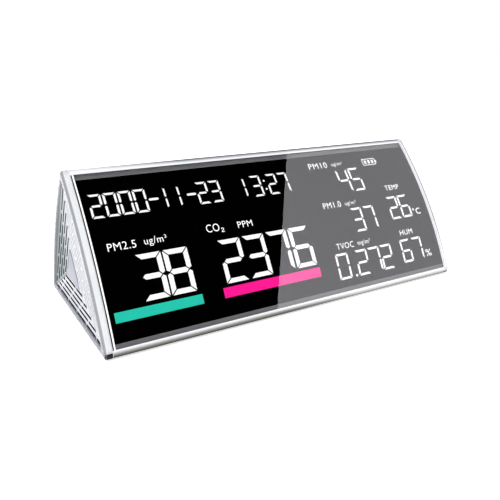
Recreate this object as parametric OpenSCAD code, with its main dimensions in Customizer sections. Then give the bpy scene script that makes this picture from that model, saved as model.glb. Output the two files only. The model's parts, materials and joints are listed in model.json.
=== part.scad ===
// Desk-top air quality monitor: a three-sided prism with bowed faces, a full-width
// display on the front, slotted grilles in both ends and four keys on the back.
// Millimetres. +X runs along the body, the display faces -Y, +Z is up.
// The origin is the middle of the footprint, at the level the rubber feet stand on.

/* [Body] */
// Overall length along X
body_length = 190; // [186:1:200]
// Depth of the triangular section between its sharp lower corners
base_depth = 90.2; // [88:0.2:92]
// Height of the sharp apex above the underside of the body
apex_height = 67.6; // [66.4:0.2:69]
// How far the front and back faces bow out from their chords
face_bulge = 4; // [3.4:0.1:4.2]
// Radius of the three long edges
edge_radius = 2; // [1.6:0.2:2.4]
// Thickness of the back cover and the base plate
wall = 2; // [1.8:0.1:2.2]
// Height of the rubber feet below the body
foot_height = 0.8; // [0.6:0.1:1.2]

/* [Ends] */
// Thickness of an end frame along X
frame_thickness = 3.5; // [3:0.1:3.8]
// Width of an end frame's rim seen from the end
rim_width = 3.3; // [3:0.1:3.6]
// How deep the grille sits below the rim
grille_recess = 0.8; // [0.6:0.1:1]
// Thickness of the grille plate
grille_thickness = 1.4; // [1.2:0.1:1.5]
// Height of one grille slot
slot_height = 1.3; // [1.1:0.1:1.5]
// Distance from one row of slots to the next
slot_pitch = 3; // [2.8:0.1:3]
// Rows of slots along each side of the grille
slot_rows = 6; // [4:1:6]

/* [Display] */
// Thickness of the clear window
window_thickness = 1.5; // [1.2:0.1:1.6]
// Distance from the sharp apex to the top edge of the window, along the chord
window_top = 3.6; // [3:0.1:3.8]
// Distance from the sharp front corner to the bottom edge of the window
window_bottom = 3.9; // [3.8:0.1:4.4]
// Grey margin above the black film
margin_top = 2.4; // [1.4:0.1:2.6]
// Grey margin below the black film
margin_bottom = 2.2; // [1.4:0.1:2.4]
// Depth of the light box behind the chord of the front face
light_box_depth = 6.5; // [6:0.1:6.6]

/* [Keys] */
// Diameter of a key cap
key_diameter = 6; // [5:0.5:7]
// Travel of a key
key_travel = 0.5; // [0.3:0.1:0.5]
// Height of a key cap above the back cover
key_proud = 0.9; // [0.7:0.1:1.2]
// Distance between keys
key_pitch = 16; // [14:1:17]

/* [Hidden] */

$fn = 48;
slack = 0.1;                  // gap between parts that only sit against each other
far = 400;                    // larger than the body, for cutting tools
half = body_length / 2;
deep = base_depth / 2;
floor_z = foot_height;        // underside of the body
chord = norm([deep, apex_height]);
face_angle = atan2(apex_height, deep);   // slope of the front chord above the base
bow_radius = (chord * chord / 4 + face_bulge * face_bulge) / (2 * face_bulge);
arc_fn = 720;                 // facets of the large face arcs
inner_half = half - frame_thickness;     // inner face of the end frames

film_thickness = 0.25;
lcd_thickness = 1.6;
film_depth = window_thickness + 0.05;            // below the front face
lcd_depth = film_depth + film_thickness + 0.05;
tray_depth = lcd_depth + lcd_thickness + 0.05;   // front of the light box

// ---------- the section: two bowed sides on a flat base ----------

// centre of the arc that makes one bowed side; side is -1 in front, +1 behind
function bow_centre(side) =
    [side * deep / 2, apex_height / 2]
    + (face_bulge - bow_radius) / chord * [side * apex_height, deep];

// where the front or back arc of radius r crosses the height z
function arc_at(side, r, z) =
    let (c = bow_centre(side))
    [c[0] + side * sqrt(r * r - (z - c[1]) * (z - c[1])), z];

// where the two arcs of radius r meet, over the middle
function apex_at(r) =
    let (c = bow_centre(1))
    [0, c[1] + sqrt(r * r - c[0] * c[0])];

// the point of the arc of radius r that faces the point p
function on_arc(side, r, p) =
    let (c = bow_centre(side), d = p - c) c + r / norm(d) * d;

// a disc whose edge is one bowed side, moved in by inset
module bow_disc(side, inset, facets = arc_fn) {
    translate(bow_centre(side)) circle(r = bow_radius - inset, $fn = facets);
}

// the body's section, shrunk by inset, with its three corners rounded
module section(inset = 0, facets = arc_fn, corner_facets = 120) {
    round_r = max(edge_radius - inset, 0.4);
    big = bow_radius - inset;
    low = inset + round_r;
    front = arc_at(-1, big - round_r, low);
    back = arc_at(1, big - round_r, low);
    top = apex_at(big - round_r);
    intersection() {
        bow_disc(-1, inset, facets);
        bow_disc(1, inset, facets);
        polygon([
            [front[0], inset], on_arc(-1, big, front), [-far, far / 2],
            on_arc(-1, big, top), on_arc(1, big, top),
            [far, far / 2], on_arc(1, big, back), [back[0], inset]
        ]);
    }
    for (corner = [front, back, top])
        translate(corner) circle(r = round_r, $fn = corner_facets);
}

// a profile drawn in (Y, Z), pulled out along X from x0 to x1 and lifted onto the feet
module along_x(x0, x1) {
    translate([x0, 0, floor_z]) rotate([90, 0, 90])
        linear_extrude(x1 - x0) children();
}

// the same over the whole length between the end frames, less a gap at each end
module between_ends(gap = 0) {
    along_x(-inner_half + gap, inner_half - gap) children();
}

// a box in profile: from and to run up the front chord, low and high out of it
module front_box(from, to, low = -far, high = far) {
    translate([-deep, 0]) rotate(face_angle)
        translate([from, low]) square([to - from, high - low]);
}

// the same on the back chord
module back_box(from, to) {
    mirror([1, 0]) front_box(from, to);
}

// places children on the front chord: X along the body, Y up the face, Z out of it
module on_front() {
    translate([0, -deep, floor_z]) rotate([face_angle, 0, 0]) children();
}

// the same on the back chord, seen from behind
module on_back() {
    rotate([0, 0, 180]) on_front() children();
}

// places children on top of the base plate
module on_base(at = [0, 0, 0]) {
    translate(at + [0, 0, floor_z + wall]) children();
}

// a slab of circuit board or sheet with its lower corner at the origin, with holes
module sheet(size, holes = [], hole_r = 1.1) {
    difference() {
        cube(size);
        for (p = holes)
            translate([p[0], p[1], -1]) cylinder(r = hole_r, h = size[2] + 2);
    }
}

// a pan-head screw with its shank along -Z and a crossed slot in the head
module screw(shank_r, length, head_r, head_h) {
    difference() {
        union() {
            cylinder(r = head_r, h = head_h);
            translate([0, 0, -length]) cylinder(r = shank_r, h = length + head_h / 2);
        }
        for (turn = [0, 90])
            rotate(turn) translate([-head_r * 0.6, -0.25, head_h * 0.4])
                cube([head_r * 1.2, 0.5, head_h]);
    }
}

// ---------- end frames and grilles ----------

edge_slices = 4;              // slices in an end frame's rounded outer edge
edge_round = 1.6;             // radius of that edge
ledge = 1.2;                  // how far the grille reaches behind the rim
frame_facets = 360;           // facets of the arcs in the rounded blank

module end_frame_blank() {
    hull() {
        for (k = [0 : edge_slices]) {
            turn = 90 * k / edge_slices;
            depth = edge_round * (1 - sin(turn));
            along_x(depth, depth + 0.01)
                section(edge_round * (1 - cos(turn)), frame_facets, 32);
        }
        along_x(frame_thickness - 0.01, frame_thickness) section(0, frame_facets, 32);
    }
}

// stands at X = 0 and grows along +X: a rim with a pocket behind it for the grille
module end_frame() {
    difference() {
        end_frame_blank();
        along_x(-1, frame_thickness + 1) section(rim_width);
        along_x(grille_recess, frame_thickness + 1) section(rim_width - ledge);
    }
}

first_row = 4;                // middle of the outer row of slots, from the side's chord
row_margin = 1.2;             // solid web left along each mitre
rim_margin = 6.5;             // no slot starts nearer the corners than this
bridge = 1.3;                 // webs that break a row
bridge_step = 15;

function row_depth(k) = first_row + k * slot_pitch;

// one row of slots along +X at y = row_depth(k), for a side with mitred corners
module slot_row(k, side_length, end_angle) {
    d = row_depth(k);
    start = max(d / tan(face_angle / 2) + row_margin, rim_margin);
    stop = side_length - max(d / tan(end_angle / 2) + row_margin, rim_margin);
    first = start + bridge_step * (k % 3 + 1) / 3;
    breaks = [for (x = [first : bridge_step : stop - 3]) x];
    from = concat([start], [for (x = breaks) x + bridge]);
    to = concat(breaks, [stop]);
    for (n = [0 : len(from) - 1])
        if (to[n] - from[n] > 2 * slot_height)
            translate([from[n], d - slot_height / 2])
                square([to[n] - from[n], slot_height]);
}

// rows along the base, the front and the back, each sector parallel to its own side
module grille_slots() {
    top_angle = 180 - 2 * face_angle;
    for (k = [0 : slot_rows - 1]) {
        translate([-deep, 0]) slot_row(k, base_depth, face_angle);
        for (side = [0, 1])
            mirror([side, 0]) translate([-deep, 0]) rotate(face_angle) mirror([0, 1])
                slot_row(k, chord, top_angle);
    }
}

module grille() {
    along_x(grille_recess, grille_recess + grille_thickness)
        difference() {
            section(rim_width - ledge + slack);
            grille_slots();
        }
}

// stands children at the left end, or mirrored at the right end
module at_end(side) {
    mirror([(side + 1) / 2, 0, 0]) translate([-half, 0, 0]) children();
}

module left_end_frame() color([0.9, 0.92, 0.94, 0.5]) at_end(-1) end_frame();
module right_end_frame() color([0.9, 0.92, 0.94, 0.5]) at_end(1) end_frame();
module left_grille() color("gainsboro") at_end(-1) grille();
module right_grille() color("gainsboro") at_end(1) grille();

// ---------- rails, back cover, base ----------

rail_back = 4;                // how far the top rail reaches down the back
rear_split = 39;              // the base plate ends here, the back cover's foot begins
lug_y = 35.5;                 // screws that hold the base plate to the back cover
lug_x = [-86, 0, 86];
lug_size = [9, 10, 4.5];      // its far end runs into the back cover's wall
base_screw_r = 1.25;
base_head = [2.4, 1.1];       // radius and height of a screw head, sunk in the base
post_r = 2.2;                 // posts under the circuit boards
post_bore_r = 1.05;
usb_x = -20;
usb_z = 5.6;                  // middle of the charging port above the body's underside
vent_count = 11;
vent_pitch = 4;
vent_x = 52;                  // middle of the vents, seen from behind
vent_size = [1.6, 22];
mid_chord = chord / 2;
key_x = [for (k = [0 : 3]) -48 + (k - 1.5) * key_pitch];   // seen from behind
key_post_x = [key_x[0] + key_pitch / 2, key_x[2] + key_pitch / 2];
key_board_top = -5.4;         // below the back chord

module top_rail() color("silver")
    between_ends() intersection() {
        section();
        front_box(chord - window_top, far);
        back_box(chord - rail_back, far);
    }

module front_rail() color("silver")
    between_ends() intersection() {
        section();
        front_box(-far, window_bottom);
    }

module back_profile() {
    difference() {
        intersection() {
            section();
            back_box(-far, chord - rail_back - slack);
            bow_disc(-1, tray_depth + slack);
        }
        section(wall);
        translate([-far, -far]) square([far + rear_split, far + wall]);
    }
}

module lug(x) {
    translate([x - lug_size[0] / 2, lug_y - 3.5, floor_z + wall + 0.05])
        cube(lug_size);
}

module back_cover() color("whitesmoke")
    difference() {
        union() {
            between_ends() back_profile();
            intersection() {
                for (x = lug_x) lug(x);
                between_ends() section(1);
            }
            on_back() for (x = key_post_x)
                translate([x, mid_chord, key_board_top])
                    cylinder(r = post_r, h = face_bulge - 1 - key_board_top);
        }
        for (x = lug_x)
            translate([x, lug_y, floor_z + wall - 1])
                cylinder(r = base_screw_r + 0.02, h = lug_size[2]);
        on_back() {
            for (x = key_x)
                translate([x, mid_chord, -1])
                    cylinder(r = key_diameter / 2 + 0.2, h = 10);
            for (x = key_post_x)
                translate([x, mid_chord, key_board_top - 1])
                    cylinder(r = post_bore_r, h = 6);
            for (k = [0 : vent_count - 1])
                translate([
                    vent_x + (k - (vent_count - 1) / 2) * vent_pitch - vent_size[0] / 2,
                    mid_chord - vent_size[1] / 2, -1
                ])
                    cube([vent_size[0], vent_size[1], 10]);
        }
        usb_slot();
    }

// the opening for the plug, straight in along Y
module usb_slot(width = 10.4, height = 4.6) {
    translate([usb_x, 34, floor_z + usb_z]) rotate([-90, 0, 0]) {
        translate([-(width - height) / 2, -height / 2, 0])
            cube([width - height, height, 20]);
        for (side = [-1, 1])
            translate([side * (width - height) / 2, 0, 0])
                cylinder(r = height / 2, h = 20);
    }
}

main_board_at = [-28, -25];
main_board_size = [112, 29, 1.6];
main_post_h = 4;
main_holes = [[4, 4], [108, 4], [4, 25], [108, 25]];
usb_board_size = [22, 16, 1.2];
usb_board_at = [usb_x - 11, 20.5];
usb_post_h = 0.75;
usb_holes = [[2.6, 2.6], [19.4, 2.6]];

// places children at each hole of a board
module at_holes(corner, holes) {
    for (p = holes) on_base([corner[0] + p[0], corner[1] + p[1], 0]) children();
}

module base_plate() color("whitesmoke")
    difference() {
        union() {
            between_ends(slack) intersection() {
                section();
                front_box(window_bottom + slack, far);
                bow_disc(-1, lcd_depth + slack);
                translate([-far, -1]) square([far + rear_split - slack, 1 + wall]);
            }
            at_holes(main_board_at, main_holes) cylinder(r = post_r, h = main_post_h);
            at_holes(usb_board_at, usb_holes) cylinder(r = post_r, h = usb_post_h);
            for (side = [-1, 1])
                on_base([humidity_x - 2, side * 5 - 1, 0]) cube([5.2, 2, 6]);
        }
        at_holes(main_board_at, main_holes)
            translate([0, 0, -1]) cylinder(r = post_bore_r, h = 10);
        at_holes(usb_board_at, usb_holes)
            translate([0, 0, -1.5]) cylinder(r = post_bore_r, h = 10);
        for (x = lug_x) translate([x, lug_y, floor_z]) {
            translate([0, 0, -1]) cylinder(r = base_screw_r + 0.1, h = 10);
            translate([0, 0, -1]) cylinder(r = base_head[0] + 0.15, h = 1 + base_head[1] + 0.1);
        }
        on_base([humidity_x, -10, 0.6]) cube([humidity_board_size[0] + slack, 20, 10]);
    }

foot_r = 5;
foot_at = [76, 29];

module rubber_feet() color("dimgray")
    for (x = [-1, 1], y = [-1, 1])
        translate([x * foot_at[0], y * foot_at[1], 0])
            cylinder(r = foot_r, h = foot_height);

module base_screws() color("darkgray")
    for (x = lug_x)
        translate([x, lug_y, floor_z + base_head[1] + 0.1]) mirror([0, 0, 1])
            screw(base_screw_r, 4, base_head[0], base_head[1]);

// ---------- display ----------

film_low = window_bottom + margin_bottom;
film_high = chord - window_top - margin_top;
lcd_low = 6;                  // the parts behind the film stop clear of the base plate
lcd_high = chord - 4.5;
box_low = 7.2;
box_high = chord - 7;
box_wall = 1.3;
film_gap = 1.5;               // from the left end frame to the film
side_gap = 0.6;

// a layer that follows the front face, between two depths and two heights
module front_layer(depth, thickness, from, to) {
    difference() {
        intersection() {
            bow_disc(-1, depth);
            front_box(from, to, -20);
        }
        bow_disc(-1, depth + thickness);
    }
}

module display_window() color([0.85, 0.88, 0.92, 0.35])
    between_ends(0.02) intersection() {
        front_layer(0, window_thickness, window_bottom + 0.05, chord - window_top - 0.05);
        section();
    }

// the film reaches the right end frame and stops short of the left one
module film_along_x() {
    along_x(-inner_half + film_gap, inner_half - 0.2) children();
}

module display_film() color("black")
    film_along_x() front_layer(film_depth, film_thickness, film_low, film_high);

module display_margins() color("darkgray")
    film_along_x() {
        front_layer(film_depth, film_thickness, window_bottom + 0.1, film_low - 0.02);
        front_layer(film_depth, film_thickness, film_high + 0.02, chord - window_top - 0.1);
    }

module lcd_panel() color("slategray")
    between_ends(side_gap) front_layer(lcd_depth, lcd_thickness, lcd_low, lcd_high);

module diffuser() color("white")
    between_ends(side_gap + box_wall + slack)
        front_layer(tray_depth, 1, box_low + box_wall + slack, box_high - box_wall - slack);

module light_box() color("gainsboro")
    difference() {
        between_ends(side_gap) intersection() {
            bow_disc(-1, tray_depth);
            front_box(box_low, box_high, -light_box_depth);
        }
        between_ends(side_gap + box_wall)
            front_box(box_low + box_wall, box_high - box_wall, box_wall - light_box_depth);
    }

led_count = 12;
led_size = [3.5, 1.2, 1.6];

module backlight_leds() color("lightyellow")
    for (k = [0 : led_count - 1]) {
        x = (k - (led_count - 1) / 2) * 14.5;
        on_front() translate([x - led_size[0] / 2, box_low + box_wall, box_wall - light_box_depth])
            cube(led_size);
    }

// a flat cable: a strip of constant height through the given points, in profile
module ribbon_profile(points, thickness = 0.3) {
    count = len(points);
    polygon(concat(points, [
        for (k = [count - 1 : -1 : 0]) points[k] + [0, thickness]
    ]));
}

board_top = wall + main_post_h + main_board_size[2];
ribbon_start = [               // just behind the light box
    (board_top + 2.4) / tan(face_angle) + light_box_depth / sin(face_angle) + 0.3 - deep,
    board_top + 2.4
];

module display_ribbon() color("peru")
    along_x(20, 44)
        ribbon_profile([
            ribbon_start, ribbon_start + [1.5, -0.2],
            [main_board_at[1] - 0.6, board_top + 0.02], [main_board_at[1] + 3, board_top + 0.02]
        ]);

// ---------- main board ----------

// places children on the main board's upper face, at x, y from its corner
module on_board(x, y) {
    on_base([
        main_board_at[0] + x, main_board_at[1] + y,
        main_post_h + main_board_size[2] + 0.02
    ]) children();
}

module main_board() color("darkgreen")
    on_base([main_board_at[0], main_board_at[1], main_post_h])
        sheet(main_board_size, main_holes);

// position on the board and size of each chip
main_chip_list = [
    [50, 15, 12, 12, 1.2], [68, 5, 8, 6, 1], [68, 17, 10, 8, 1],
    [82, 16, 14, 9, 2.4], [86, 4, 5, 5, 0.8], [46, 5, 4, 2.4, 0.8]
];

module main_chips() color("dimgray")
    for (c = main_chip_list) on_board(c[0], c[1]) cube([c[2], c[3], c[4]]);

module board_screws() color("silver")
    at_holes(main_board_at, main_holes)
        translate([0, 0, main_post_h + main_board_size[2] + 0.02]) screw(1, 5, 2, 1.2);

module buzzer() color("black")
    on_board(102, 14.5) difference() {
        cylinder(r = 4.5, h = 4.5);
        translate([0, 0, 2]) cylinder(r = 0.8, h = 3);
    }

module voc_sensor() color("silver")
    on_board(37, 22) difference() {
        union() {
            cylinder(r = 5.2, h = 1);
            cylinder(r = 4.6, h = 7);
        }
        translate([0, 0, 6.4]) cylinder(r = 3, h = 1);
    }

co2_at = [8, 2.5];
co2_size = [22, 20, 9];

module co2_sensor_case() color("gold")
    on_board(co2_at[0], co2_at[1]) difference() {
        cube(co2_size);
        translate([3, 3, co2_size[2] - 0.6]) cube([16, 14, 1]);
    }

module co2_sensor_filter() color("white")
    on_board(co2_at[0] + 3.1, co2_at[1] + 3.1)
        translate([0, 0, co2_size[2] - 0.55]) cube([15.8, 13.8, 0.5]);

// ---------- temperature and humidity sensor ----------

humidity_x = 87;
humidity_board_size = [1, 14, 16];

module humidity_board() color("darkgreen")
    on_base([humidity_x + slack / 2, -7, 0.65]) cube(humidity_board_size);

module humidity_sensor() color("white")
    on_base([humidity_x + slack / 2 + humidity_board_size[0], -2.5, 9])
        difference() {
            cube([1.4, 5, 5.5]);
            translate([0.9, 1, 1]) cube([1, 3, 3.5]);
        }

// ---------- charging port ----------

module usb_board() color("darkgreen")
    on_base([usb_board_at[0], usb_board_at[1], usb_post_h])
        sheet(usb_board_size, usb_holes);

port_size = [8.9, 7.4, 3.2];

module usb_port() color("silver")
    translate([usb_x, 37.2 - port_size[1], floor_z + usb_z]) rotate([-90, 0, 0])
        difference() {
            rounded_bar(port_size[0], port_size[2], port_size[1]);
            translate([0, 0, 1]) difference() {
                rounded_bar(port_size[0] - 0.6, port_size[2] - 0.6, port_size[1]);
                translate([-3.2, -0.35, -1]) cube([6.4, 0.7, port_size[1] - 1]);
            }
        }

// a bar along Z with round sides
module rounded_bar(width, height, length) {
    translate([-(width - height) / 2, -height / 2, 0])
        cube([width - height, height, length]);
    for (side = [-1, 1])
        translate([side * (width - height) / 2, 0, 0])
            cylinder(r = height / 2, h = length);
}

module usb_screws() color("silver")
    at_holes(usb_board_at, usb_holes)
        translate([0, 0, usb_post_h + usb_board_size[2] + 0.02]) screw(1, 3, 1.9, 1.1);

// ---------- keys ----------

key_hang = 0.3;               // gap between a key's flange and the cover
flange_r = key_diameter / 2 + 1.2;
flange_top = face_bulge - wall - key_hang;
plunger_r = 1.6;
plunger_top = -1;
switch_top = -2.2;
switch_size = 6;
switch_floor = key_board_top + 0.8;      // bottom of the well the plunger sinks into
plunger_length = plunger_top - switch_floor - key_travel - 0.5;

key_board_size = [60, 10, 1.2];

module key_board() color("darkgreen")
    on_back() translate([-78, mid_chord - 5, key_board_top - key_board_size[2]])
        sheet(key_board_size, [for (x = key_post_x) [x + 78, 5]]);

module key_board_screws() color("silver")
    on_back() for (x = key_post_x)
        translate([x, mid_chord, key_board_top - key_board_size[2] - 0.02])
            mirror([0, 0, 1]) screw(1, 5, 2, 1.2);

module key_switches() color("black")
    on_back() for (x = key_x)
        translate([x, mid_chord, key_board_top]) difference() {
            translate([-switch_size / 2, -switch_size / 2, 0])
                cube([switch_size, switch_size, switch_top - key_board_top]);
            translate([0, 0, switch_floor - key_board_top])
                cylinder(r = plunger_r + 0.3, h = 5);
        }

// a cap with a flange that keeps it in, and a stem that reaches the switch
module key(k) {
    on_back() translate([key_x[k], mid_chord, 0]) {
        translate([0, 0, flange_top - 1])
            cylinder(r = key_diameter / 2, h = face_bulge + key_proud - flange_top + 1);
        translate([0, 0, flange_top - 1]) cylinder(r = flange_r, h = 1);
        translate([0, 0, plunger_top]) cylinder(r = 1.5, h = flange_top - plunger_top);
    }
}

// the part of a switch that moves with its key
module plunger(k) {
    on_back() translate([key_x[k], mid_chord, plunger_top - plunger_length])
        cylinder(r = plunger_r, h = plunger_length - 0.01);
}

module power_key() color("gainsboro") key(0);
module mode_key() color("gainsboro") key(1);
module up_key() color("gainsboro") key(2);
module down_key() color("gainsboro") key(3);
module power_plunger() color("dimgray") plunger(0);
module mode_plunger() color("dimgray") plunger(1);
module up_plunger() color("dimgray") plunger(2);
module down_plunger() color("dimgray") plunger(3);

// ---------- battery ----------

cell_r = 9.2;
cell_length = 65;
holder_size = [76, 21, 12];
holder_at = [8, 9.5];
holder_floor = 1.2;
cell_z = holder_floor + cell_r + slack;
cell_x = holder_at[0] + (holder_size[0] - cell_length) / 2;
cell_y = holder_at[1] + holder_size[1] / 2;

module battery_cell() color("steelblue")
    on_base([cell_x, cell_y, cell_z]) rotate([0, 90, 0]) {
        cylinder(r = cell_r, h = cell_length - 1.5);
        cylinder(r = 3, h = cell_length);
    }

module battery_holder() color("black")
    on_base([holder_at[0], holder_at[1], 0]) difference() {
        cube(holder_size);
        translate([1.5, 1, holder_floor])
            cube([holder_size[0] - 3, holder_size[1] - 2, holder_size[2]]);
    }

// a spring plate at each end of the cell, with a boss that touches it
module battery_contact(boss) {
    translate([0, -4, 0]) cube([0.4, 8, 14]);
    translate([0.3, -2, 7]) cube([boss - 0.3, 4, 4]);
}

module battery_contacts() color("gold") {
    low = holder_floor + slack;
    left_x = holder_at[0] + 1.6;
    right_x = holder_at[0] + holder_size[0] - 1.6;
    on_base([left_x, cell_y, low]) battery_contact(cell_x - left_x - 0.02);
    on_base([right_x, cell_y, low]) mirror([1, 0, 0])
        battery_contact(right_x - cell_x - cell_length - 0.02);
}

// ---------- particle sensor ----------

sensor_at = [-87, -14];
sensor_size = [50, 38, 20];
sensor_wall = 1;
fan_at = [13, 19];            // fan's axis from the sensor's corner
fan_chamber_r = 11;
rotor_r = 9.5;
rotor_height = 5;
hub_r = 4;
shaft_r = 0.75;
blade_count = 7;
blade_tilt = 40;
rotor_base = 9;               // above the base plate

module on_sensor(at = [0, 0, 0]) {
    on_base([sensor_at[0], sensor_at[1], 0] + at) children();
}

module particle_sensor_case() color("silver")
    on_sensor() difference() {
        cube([sensor_size[0], sensor_size[1], sensor_size[2] - sensor_wall]);
        translate([fan_at[0], fan_at[1], sensor_wall])
            cylinder(r = fan_chamber_r, h = sensor_size[2]);
        translate([2 * fan_at[0] + 1, sensor_wall, sensor_wall])
            cube([
                sensor_size[0] - 2 * fan_at[0] - 1 - sensor_wall,
                sensor_size[1] - 2 * sensor_wall, sensor_size[2]
            ]);
        translate([fan_at[0], fan_at[1] - 3, 4]) cube([2 * fan_at[0], 6, 8]);
    }

module particle_sensor_lid() color("silver")
    on_sensor([0, 0, sensor_size[2] - sensor_wall + 0.02]) difference() {
        cube([sensor_size[0], sensor_size[1], sensor_wall]);
        translate([fan_at[0], fan_at[1], -1]) difference() {
            cylinder(r = 8, h = 3);
            cylinder(r = 3.2, h = 3);
            for (turn = [0, 90])
                rotate(turn) translate([-9, -0.6, 0]) cube([18, 1.2, 3]);
        }
        for (k = [0 : 5])
            translate([34 + k * 2.2, 6, -1]) cube([1.2, 12, 3]);
    }

module particle_sensor_board() color("darkgreen")
    on_sensor([2 * fan_at[0] + 1.2, sensor_wall + 0.2, sensor_wall + 0.1])
        cube([sensor_size[0] - 2 * fan_at[0] - 2.6, sensor_size[1] - 2.4, 1.2]);

module laser_module() color("darkgoldenrod")
    on_sensor([2 * fan_at[0] + 4, 30, 8]) rotate([0, 90, 0]) {
        cylinder(r = 3.2, h = 12);
        cylinder(r = 1.2, h = 14);
    }

module particle_sensor_ribbon() color("peru") {
    start = sensor_at[0] + sensor_size[0] + 0.05;
    translate([0, -4, floor_z]) rotate([90, 0, 0]) linear_extrude(10)
        ribbon_profile([
            [start, board_top + 5], [start + 3, board_top + 5],
            [main_board_at[0] - 1, board_top + 0.02], [main_board_at[0] + 5, board_top + 0.02]
        ]);
}

module fan_motor() color("dimgray")
    on_sensor([fan_at[0], fan_at[1], sensor_wall]) {
        cylinder(r = 5, h = 3);
        cylinder(r = hub_r - 1, h = rotor_base - sensor_wall - 0.6);
        cylinder(r = shaft_r, h = rotor_base - sensor_wall + rotor_height - 0.6);
    }

// a hub with straight tilted blades, hollowed for the shaft
module fan_rotor() color("black")
    on_sensor([fan_at[0], fan_at[1], rotor_base]) difference() {
        union() {
            cylinder(r = hub_r, h = rotor_height);
            intersection() {
                cylinder(r = rotor_r, h = rotor_height);
                for (k = [0 : blade_count - 1])
                    rotate(k * 360 / blade_count)
                        translate([0, 0, rotor_height / 2]) rotate([blade_tilt, 0, 0])
                            translate([1.5, -4, -0.4]) cube([rotor_r, 8, 0.8]);
            }
        }
        translate([0, 0, -1]) cylinder(r = shaft_r + 0.05, h = rotor_height + 2);
    }

// ---------- drawing ----------

left_end_frame();
right_end_frame();
left_grille();
right_grille();
top_rail();
front_rail();
back_cover();
base_plate();
rubber_feet();
base_screws();
display_window();
display_film();
display_margins();
lcd_panel();
diffuser();
light_box();
backlight_leds();
display_ribbon();
main_board();
main_chips();
board_screws();
buzzer();
voc_sensor();
co2_sensor_case();
co2_sensor_filter();
humidity_board();
humidity_sensor();
usb_board();
usb_port();
usb_screws();
key_board();
key_board_screws();
key_switches();
power_key();
mode_key();
up_key();
down_key();
power_plunger();
mode_plunger();
up_plunger();
down_plunger();
battery_cell();
battery_holder();
battery_contacts();
particle_sensor_case();
particle_sensor_lid();
particle_sensor_board();
particle_sensor_ribbon();
laser_module();
fan_motor();
fan_rotor();
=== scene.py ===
"""Air quality monitor: looks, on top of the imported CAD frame. Metres, +Z up, the display faces -Y."""

import json
import math

import bmesh
import bpy
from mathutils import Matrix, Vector


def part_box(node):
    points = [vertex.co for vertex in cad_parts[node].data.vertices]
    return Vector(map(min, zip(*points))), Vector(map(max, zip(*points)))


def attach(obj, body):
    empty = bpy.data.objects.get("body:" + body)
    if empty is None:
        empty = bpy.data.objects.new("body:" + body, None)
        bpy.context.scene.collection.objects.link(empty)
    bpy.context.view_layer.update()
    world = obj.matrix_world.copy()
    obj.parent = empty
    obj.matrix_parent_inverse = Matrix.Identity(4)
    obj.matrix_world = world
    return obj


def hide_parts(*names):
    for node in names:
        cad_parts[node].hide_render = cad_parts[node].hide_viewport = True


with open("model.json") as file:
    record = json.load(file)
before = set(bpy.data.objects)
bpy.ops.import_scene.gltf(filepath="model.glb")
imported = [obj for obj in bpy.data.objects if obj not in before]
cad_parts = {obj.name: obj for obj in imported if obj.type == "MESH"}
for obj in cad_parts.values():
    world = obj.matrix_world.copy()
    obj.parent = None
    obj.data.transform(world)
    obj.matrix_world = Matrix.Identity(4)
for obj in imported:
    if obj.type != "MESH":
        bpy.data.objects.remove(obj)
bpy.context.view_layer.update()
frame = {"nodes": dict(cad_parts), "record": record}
scene = bpy.context.scene
MM = 0.001

# ---------- sizes worked out from the frame ----------

left_low, left_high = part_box("left_end_frame")
LEFT = left_low[0]
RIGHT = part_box("right_end_frame")[1][0]
LENGTH = RIGHT - LEFT
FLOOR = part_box("base_plate")[0][2]       # underside of the body, above the resting surface
RAIL_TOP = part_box("top_rail")[1][2]
FRAME_X = left_high[0] - LEFT            # thickness of an end frame

# the section as designed: a triangle with sharp corners whose two upper sides bow out
DEPTH = 90.2 * MM
HEIGHT = 67.6 * MM
BULGE = 4.0 * MM                         # how far each upper side bows out at its middle
EDGE_R = 2.0 * MM                        # rounding of the three long edges
WINDOW = 1.5 * MM                        # thickness of the clear window
WINDOW_FROM = 3.6 * MM                   # from the sharp apex to the window's top edge
WINDOW_TO = 3.9 * MM                     # from the sharp front corner to the window's bottom edge
RIM = 3.3 * MM                           # width of an end frame's rim, seen from the side
EASE = 0.12 * MM                         # the small bevel along the edges of the clear parts
CHORD = math.hypot(DEPTH / 2, HEIGHT)
BOW_R = (CHORD * CHORD / 4 + BULGE * BULGE) / (2 * BULGE)
ARC = 2 * BOW_R * math.asin(CHORD / 2 / BOW_R)
INK = WINDOW + 0.03 * MM                 # how deep the display's figures lie below the front


def bow_centre(side):
    """Centre, in (y, z), of the arc of the front (-1) or back (+1) face."""
    k = (BULGE - BOW_R) / CHORD
    return Vector((side * DEPTH / 4 + k * side * HEIGHT, HEIGHT / 2 + k * DEPTH / 2 + FLOOR))


def front_point(x, s, depth=0.0):
    """The point x from the left end and s down the front face from the sharp apex."""
    centre = bow_centre(-1)
    to_apex = Vector((0, HEIGHT + FLOOR)) - centre
    turn = math.atan2(to_apex.y, to_apex.x) + s / BOW_R
    r = BOW_R - depth
    return Vector((LEFT + x, centre.x + r * math.cos(turn), centre.y + r * math.sin(turn)))


def front_normal(s):
    """The outward normal of the front face, s down from the apex."""
    centre = bow_centre(-1)
    p = front_point(0, s)
    return Vector((0, p.y - centre.x, p.z - centre.y)).normalized()


# ---------- camera ----------

EYE = (-0.1454, -0.2392, 0.1119)
YAW, PITCH = 30.49, 18.72                # degrees: from +Y towards +X, and downwards


def add_camera():
    data = bpy.data.cameras.new("camera")
    cam = bpy.data.objects.new("camera", data)
    scene.collection.objects.link(cam)
    scene.camera = cam
    yaw, pitch = math.radians(YAW), math.radians(PITCH)
    cam.location = EYE
    level = math.cos(pitch)
    look = Vector((math.sin(yaw) * level, math.cos(yaw) * level, -math.sin(pitch)))
    cam.rotation_euler = look.to_track_quat("-Z", "Y").to_euler()
    data.sensor_width = 36
    data.lens = 41.1
    data.clip_start = 0.01
    return cam


camera = add_camera()


# ---------- shader helpers ----------

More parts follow.
